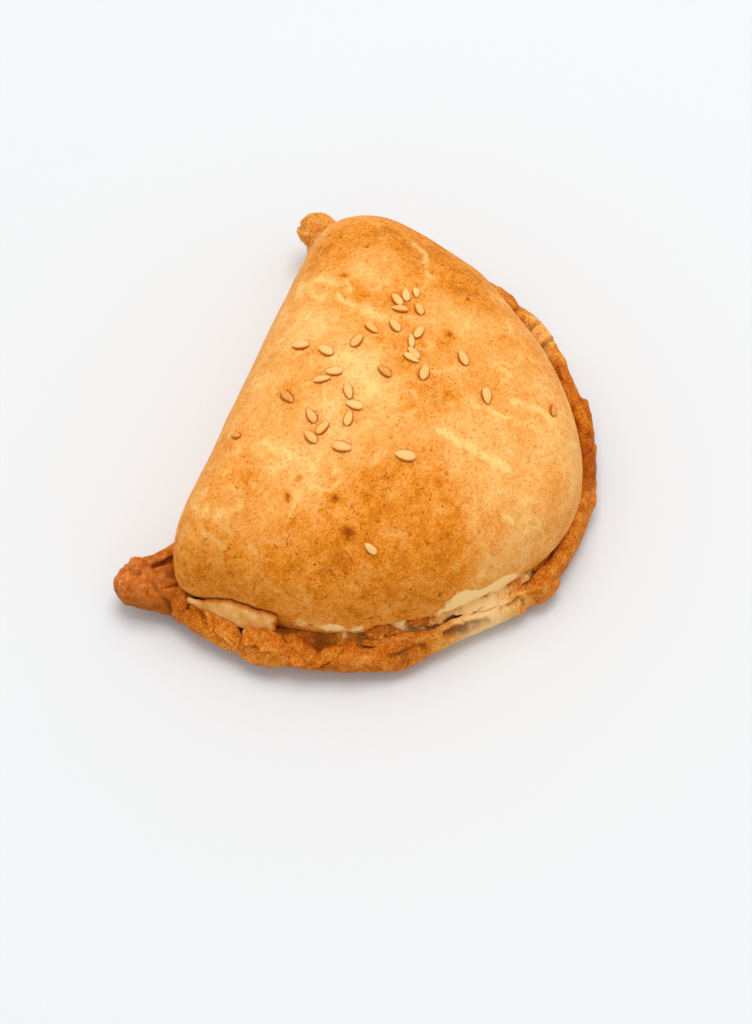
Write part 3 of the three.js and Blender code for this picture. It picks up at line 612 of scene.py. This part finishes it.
# The crimp's tucks: pinched folds, crumbs and strands of the same dough that lie over the
# rim, and the twisted tips of the horns. Each is a roll of dough, fat in its middle, that
# runs through a few points: an angle, a radius and a height round the pouch, in mm.
ROLLS = [
    # half-width, half-height, crumbs, bareness, horn colour, then the points
    (1.5, 1.6, 0.3, 0.0, 0.3, [(156, 50.3, 8.0), (159.5, 53.6, 8.3), (162.8, 56, 6.2)]),
    (1.7, 1.7, 0.7, 0.0, 0.1, [(163.8, 55.4, 6.2), (166.8, 55.2, 7.0), (170, 54.8, 6.4)]),
    (2.2, 1.3, 0.2, 0.1, 0.0, [(167.5, 51.6, 8.4), (173, 53.6, 8.2), (178, 54.9, 6.4)]),
    (2.3, 2.1, 1.1, 0.1, 0.0, [(177.2, 53.2, 8.6), (182, 52.8, 9.6), (187.5, 53.4, 9.0)]),
    (1.5, 1.7, 0.5, 0.0, 0.2, [(177, 55.2, 5.2), (182, 55.0, 5.0), (187.5, 54.8, 5.2)]),
    (2.6, 1.5, 0.3, 0.1, 0.0, [(186, 50.2, 8.0), (190, 52.4, 8.0), (194.3, 54.4, 6.4)]),
    (1.6, 1.5, 0.2, 0.1, 0.0, [(194.6, 55, 6.4), (199, 52.8, 8.4), (204.5, 50.0, 9.2)]),
    (1.4, 1.8, 0.4, 0.0, 0.2, [(205, 54.0, 4.4), (213, 53.5, 4.6), (221, 52.6, 4.4)]),
    (1.2, 0.9, 0.2, 0.1, 0.0, [(206, 49.8, 8.6), (216, 50.3, 8.8), (226, 50.9, 8.6)]),
    (0.8, 1.0, 0.5, 0.0, 0.6, [(240.6, 53.8, 5.8), (242.6, 54.0, 5.4)]),
    (0.9, 1.2, 0.3, 0.0, 0.5, [(246.0, 54.6, 5.2), (248.0, 55.0, 4.8)]),
    (1.4, 1.9, 0.4, 0.0, 0.6, [(250.8, 56.0, 4.6), (254.5, 56.4, 4.8), (259.5, 55.6, 4.2)]),
    (1.6, 1.1, 0.2, 0.1, 0.0, [(247, 53.4, 8.2), (255, 54.2, 8.6), (263, 55.0, 8.4)]),
    (0.9, 1.1, 0.3, 0.0, 0.3, [(270.0, 55.6, 5.8), (272.5, 55.9, 5.4)]),
    (1.3, 1.5, 0.3, 0.0, 0.5, [(275, 55.2, 5.0), (281, 55.5, 5.2), (288, 54.9, 5.4)]),
    (1.5, 1.6, 0.4, 0.0, 0.3, [(291.3, 54.2, 6.6), (294.5, 54.5, 6.8), (298, 54, 6.6)]),
    (1.6, 1.2, 0.2, 0.1, 0.0, [(296, 53.6, 9.0), (305, 52.8, 10.2), (312, 50.4, 10.6)]),
    (1.4, 1.7, 0.3, 0.0, 0.4, [(302, 54.2, 7.0), (305, 54.8, 7.4), (308.5, 54, 7.4)]),
    (0.9, 1.2, 0.3, 0.0, 0.4, [(309, 53.4, 8.0), (316, 53.4, 8.2), (322, 53.8, 8.4)]),
    (1.0, 0.9, 0.5, 0.0, 0.2, [(333.2, 53, 10.0), (336.5, 53.8, 9.8)]),
    (1.5, 1.3, 0.4, 0.0, 0.2, [(337, 53.6, 9.6), (341.5, 54.5, 9.4), (347, 54.2, 9.4)]),
    (3.3, 3.0, 0.5, 0.0, 0.1, [(32.6, 55.0, 10.5), (31.0, 58.6, 12.8), (29.8, 61.4, 13.6)]),
    (1.8, 1.7, 0.9, 0.0, 1.0, [(146.2, 54.2, 9.0), (146.6, 57, 9.6), (147.4, 60.4, 9.2)]),
    (2.0, 2.2, 1.0, 0.0, 1.0, [(147.6, 60.2, 8.0), (149.6, 60.8, 8.0), (152.6, 60.6, 7.4)]),
]
ROLL_GRAIN, ROLL_AROUND, ROLL_ALONG = 1.5, 26, 42


def roll(route, half_width, half_height, crumbs):
    """A flap along the smooth curve through the route's points: thick on the side of the
    pouch and thin on the other, its outline and girth wandering with the dough's noise. Its
    section shrinks to nothing at both ends by the square root of 1 - |2 u - 1| ** 3."""
    angle, radius, height = np.array(route, float).T
    points = np.stack([np.cos(np.radians(angle)), np.sin(np.radians(angle))], -1) * radius[:, None]
    points = np.concatenate([points, height[:, None]], 1) + MIDDLE
    u = (1 - np.cos(np.linspace(0.06, 0.94, ROLL_ALONG) * np.pi)) / 2
    knots = np.linspace(0, 1, len(points))
    centre = 0
    for n, point in enumerate(points):
        rest = np.delete(knots, n)
        weight = np.prod((u[:, None] - rest) / (knots[n] - rest), axis=1)
        centre = centre + weight[:, None] * point
    ahead = np.gradient(centre, axis=0)
    ahead = ahead / np.linalg.norm(ahead, axis=1, keepdims=True)
    side = np.cross([0, 0, 1], ahead)
    side = side / np.linalg.norm(side, axis=1, keepdims=True)
    upward = np.cross(ahead, side)
    v = np.linspace(0, 2 * np.pi, ROLL_AROUND, endpoint=False)[:, None, None]
    taper = np.sqrt(1 - np.abs(2 * u - 1) ** 3)[None, :, None]
    girth = 1 + 0.35 * dough_noise(centre, 2.6, 42)[:, None]
    thick = half_height * (0.3 + 0.7 * ease(-1, 0.6, np.cos(v)))
    out = side * np.cos(v) * half_width - upward * np.sin(v) * thick
    centre = centre + side * 0.5 * dough_noise(centre, 2.0, 43)[:, None]
    grid = centre + out * taper * girth
    bumps = dough_noise(grid, ROLL_GRAIN, 40) + 0.5 * dough_noise(grid, ROLL_GRAIN / 2, 41)
    grid = grid + out * ((0.1 + 0.28 * crumbs) * bumps)[..., None]
    return skin(grid, grid[:, 0].mean(0), grid[:, -1].mean(0))


# Torn strands of dough fill the crease along the front, strewn there by seeded chance: how
# far out each lies, its bow, its height over the rim, its half-width and its bareness.
strewn = np.random.default_rng(44)
LEAST, MOST = (0, -0.8, -0.1, 1.2, 0.1), (1.5, 0.8, 0.6, 1.8, 0.42)
for angle in np.arange(207, 262, 3.7):
    inner = min(CREASE_RADIUS + swells(CREASE_SWELLS, angle), side_radius(angle) - 1.6)
    high = rim_top(angle, 0.2)
    out, bow, up, girth, pale = strewn.uniform(LEAST, MOST)
    route = [
        (angle - 3.6, inner + out - bow, high - 0.6), (angle, inner + out, high + up),
        (angle + 3.6, inner + out + bow, high - 0.6),
    ]
    ROLLS.append((girth, 0.8 * girth, 0.9, pale, 0.0, route))

rolls = [roll(route, *girth) for *girth, bareness, horn, route in ROLLS]
sizes = [len(points) for points, faces in rolls]
bare_rolls = np.repeat([entry[3] for entry in ROLLS], sizes)
horn_rolls = np.repeat([entry[4] for entry in ROLLS], sizes)
tone_rolls = np.concatenate([
    np.full(size, swells(RIM_TONES, entry[5][1][0])) for entry, size in zip(ROLLS, sizes)
])
# Painted shade: each is darkest where its underside meets the rim.
underside_shade = ease(-0.1, 0.8, np.sin(np.linspace(0, 2 * np.pi, ROLL_AROUND, endpoint=False)))
underside_shade = np.tile(np.concatenate([np.repeat(underside_shade, ROLL_ALONG), [0.6, 0.6]]), len(ROLLS))
roll_attributes = {
    "rim": np.ones(sum(sizes)), "bare": bare_rolls, "horn": horn_rolls, "crease": underside_shade,
    "browning_and_shading": tone_rolls,
}
pastry_piece("tucks", rolls, roll_attributes, glazed)


# The flake: a shaving of crust that has lifted off the side, low by the near horn. It
# widens from nothing to a torn end, and its back and edges have browned more than its face.
FLAKE_START, FLAKE_END, FLAKE_LOW_TOP, FLAKE_TOP = 161.0, 184.5, 10.0, 15.6
FLAKE_TIP, FLAKE_WIDTH, FLAKE_STAND_OFF, FLAKE_LEAN = 0.8, 7.4, 0.5, 1.6
FLAKE_THICKNESS = 0.7


def flake_points():
    """Round its section by v, a flat superellipse, and along by t. The strip widens as it
    goes, bellies in its middle and leans out to its bottom edge."""
    v = np.linspace(0, 2 * np.pi, 48, endpoint=False)[:, None]
    t = np.linspace(0, 1, 80)[None, :]
    across = np.sign(np.cos(v)) * np.abs(np.cos(v)) ** 0.5
    deep = np.sign(np.sin(v)) * np.abs(np.sin(v)) ** 0.7
    width = FLAKE_TIP + (FLAKE_WIDTH - FLAKE_TIP) * ease(-0.2, 0.6, t)
    torn = 0.35 * np.sin(9 * across + 1) + 0.25 * np.sin(23 * across)
    angle = FLAKE_START + (FLAKE_END - FLAKE_START) * t + torn * ease(0.75, 1, t)
    edge_wave = 0.14 * np.sin(31 * t) + 0.10 * np.sin(67 * t + 1)
    down = (1 - across) / 2
    top = FLAKE_LOW_TOP + (FLAKE_TOP - FLAKE_LOW_TOP) * ease(0, 0.55, t)
    high = top - width * down + edge_wave * across
    out = side_radius(angle) + FLAKE_STAND_OFF * ease(0, 0.3, t)
    out = out + FLAKE_LEAN * width / FLAKE_WIDTH * down + 0.45 * (1 - across**2)
    out = out - FLAKE_THICKNESS / 2 * deep * ease(-0.05, 0.2, t)
    x, y = np.cos(np.radians(angle)) * out, np.sin(np.radians(angle)) * out
    grid = np.stack([x, y, high], -1)
    ripple = 0.12 * dough_noise(grid, 3.0, 50) + 0.06 * dough_noise(grid, 1.2, 51)
    return grid + MIDDLE + ripple[..., None], across, deep, t


flake, across, deep, along = flake_points()
top_edge = np.clip(1 - (1 - across) / 0.3, 0, 1) * ease(0.02, 0.15, along)
torn_end = ease(0.94, 1, along) * (1 + 0 * across)
backs = np.clip(deep * 3, 0, 1) + 0 * along
browned = np.clip(np.maximum(np.maximum(top_edge, torn_end), 0.6 * backs), 0, 1)
browned = np.concatenate([browned.ravel(), [1.0, 1.0]])

# Its dough: matt, pale tan with a lighter middle, and orange-brown along what is torn.
shaved = bpy.data.materials.new("lifted_crust")
shaved.use_nodes = True
tree = shaved.node_tree
tree.nodes.clear()
place = add(tree, "TexCoord").outputs["Object"]
face = add(tree, "ValToRGB", {"Fac": grains(2.8)}, stops=[
    (0.3, "#D48C3C"), (0.5, "#E8A856"), (0.7, "#F6C680"),
]).outputs["Color"]
torn = add(tree, "Attribute", attribute_name="torn").outputs["Fac"]
pale = over(face, colour("#C05A0E"), torn)
dull = add(tree, "BsdfPrincipled", {
    "Base Color": pale, "Roughness": 0.7, "Specular IOR Level": 0.05,
})
add(tree, "OutputMaterial", {"Surface": dull.outputs[0]})
flake_skin = skin(flake, flake[:, 0].mean(0), flake[:, -1].mean(0))
pastry_piece("flake", [flake_skin], {"torn": browned}, shaved)


# The sesame seeds: hulled, scattered over the top and baked on to the glaze. Each is a
# flat drop, blunt at one end. A few lie on edge and show narrow, and a few are browner.
SEED_LENGTH, SEED_WIDTH, SEED_THICKNESS, SEED_PROUD = 3.9, 2.4, 1.25, 0.25
EDGEWISE_SEEDS = [10, 12, 19]
BROWNER_SEEDS = [16, 17, 28, 29]

crust_top = crust[:, : ROWS["crown"]].reshape(-1, 3)
crust_up = grid_normals(crust)[:, : ROWS["crown"]].reshape(-1, 3)


def seed(x, y, turn, size, breadth):
    """Rings along t from -1 to 1, each an ellipse of girth sqrt(1 - t * t) * (1 - 0.18 t),
    laid on the crust at its nearest point in plan and turned to lie along it."""
    nearest = np.argmin(np.sum((crust_top[:, :2] - (x, y)) ** 2, 1))
    at, upward = crust_top[nearest], crust_up[nearest]
    ahead = np.array([np.cos(np.radians(turn)), np.sin(np.radians(turn)), 0])
    ahead = ahead - upward * (ahead @ upward)
    ahead = ahead / np.linalg.norm(ahead)
    side = np.cross(upward, ahead)
    t = -np.cos(np.linspace(0.05, 0.95, 20) * np.pi)[None, :, None]
    v = np.linspace(0, 2 * np.pi, 20, endpoint=False)[:, None, None]
    girth = np.sqrt(1 - t * t) * (1 - 0.18 * t)
    flat = np.sign(np.sin(v)) * np.abs(np.sin(v)) ** 0.8 * SEED_THICKNESS
    ring = side * np.cos(v) * SEED_WIDTH * breadth - upward * flat
    centre = at + upward * SEED_PROUD
    end = ahead * SEED_LENGTH / 2 * size
    return skin(centre + end * t + ring * girth / 2 * size, centre - end, centre + end)


seeds = [
    seed(*entry, 0.78 if n in EDGEWISE_SEEDS else 0.98) for n, entry in enumerate(SEEDS, start=1)
]
each = len(seeds[0][0])
tone = np.random.default_rng(60).uniform(0, 0.35, len(SEEDS))
tone[np.array(BROWNER_SEEDS) - 1] = 0.6
# Each is painted darker down its sides and underside, all but its top face: partly toast, partly
# painted shade where it sits on the crust.
edge = ease(-0.86, -0.35, np.sin(np.linspace(0, 2 * np.pi, 20, endpoint=False)))
edge = np.concatenate([np.repeat(edge, 20), [0.9, 0.9]])
tone = (tone[:, None] + edge).ravel()

# Their hulls: smooth and faintly oily, cream to light tan, each a little different, and orange down
# their sides where they sit on the crust, partly toasted and partly painted shade.
hull = bpy.data.materials.new("toasted_sesame")
hull.use_nodes = True
tree = hull.node_tree
tree.nodes.clear()
place = add(tree, "TexCoord").outputs["Object"]
toast_and_shade = add(tree, "Attribute", attribute_name="toast_and_shade").outputs["Fac"]
mixed = calc("ADD", toast_and_shade, calc("MULTIPLY_ADD", grains(0.8, 2.0), 0.5, -0.25))
cream = add(tree, "ValToRGB", {"Fac": mixed}, stops=[
    (0.0, "#F0C078"), (0.45, "#E6AA5A"), (0.8, "#D07C22"), (1.0, "#B65C0E"),
]).outputs["Color"]
oily = add(tree, "BsdfPrincipled", {
    "Base Color": cream, "Roughness": 0.45, "Specular IOR Level": 0.15,
    "Subsurface Weight": 0.15, "Subsurface Radius": (0.0012, 0.0007, 0.0004),
    "Subsurface Scale": 1.0,
})
add(tree, "OutputMaterial", {"Surface": oily.outputs[0]})
pastry_piece("sesame_seeds", seeds, {"toast_and_shade": tone}, hull)


# The table: a plain pale top under soft studio light, with a large softbox above and
# behind it and an even white room round it.
TABLE_HALF = 2.0
table_mesh = bpy.data.meshes.new("table")
table_mesh.from_pydata(
    [(x * TABLE_HALF, y * TABLE_HALF, 0) for x, y in ((-1, -1), (1, -1), (1, 1), (-1, 1))],
    [], [(0, 1, 2, 3)],
)
table_paint = bpy.data.materials.new("matt_white_board")
table_paint.use_nodes = True
board = table_paint.node_tree.nodes["Principled BSDF"]
board.inputs["Base Color"].default_value = colour("#DDDEDE")
board.inputs["Roughness"].default_value = 0.6
table_mesh.materials.append(table_paint)
table = bpy.data.objects.new("table", table_mesh)
bpy.context.scene.collection.objects.link(table)

SOFTBOX_AT = Vector((0.24, 0.05, 1.3))
SOFTBOX_SIDE, SOFTBOX_WATTS = 0.8, 9.5
ROOM_STRENGTH = 0.8
softbox = bpy.data.objects.new("softbox", bpy.data.lights.new("softbox", "AREA"))
softbox.data.shape = "SQUARE"
softbox.data.size = SOFTBOX_SIDE
softbox.data.energy = SOFTBOX_WATTS
softbox.location = SOFTBOX_AT
softbox.rotation_euler = SOFTBOX_AT.to_track_quat("Z", "Y").to_euler()
bpy.context.scene.collection.objects.link(softbox)
room = bpy.data.worlds.new("white_room")
room.use_nodes = True
room.node_tree.nodes["Background"].inputs["Color"].default_value = colour("#FBFCFE")
room.node_tree.nodes["Background"].inputs["Strength"].default_value = ROOM_STRENGTH
bpy.context.scene.world = room
bpy.context.scene.view_settings.view_transform = "Standard"
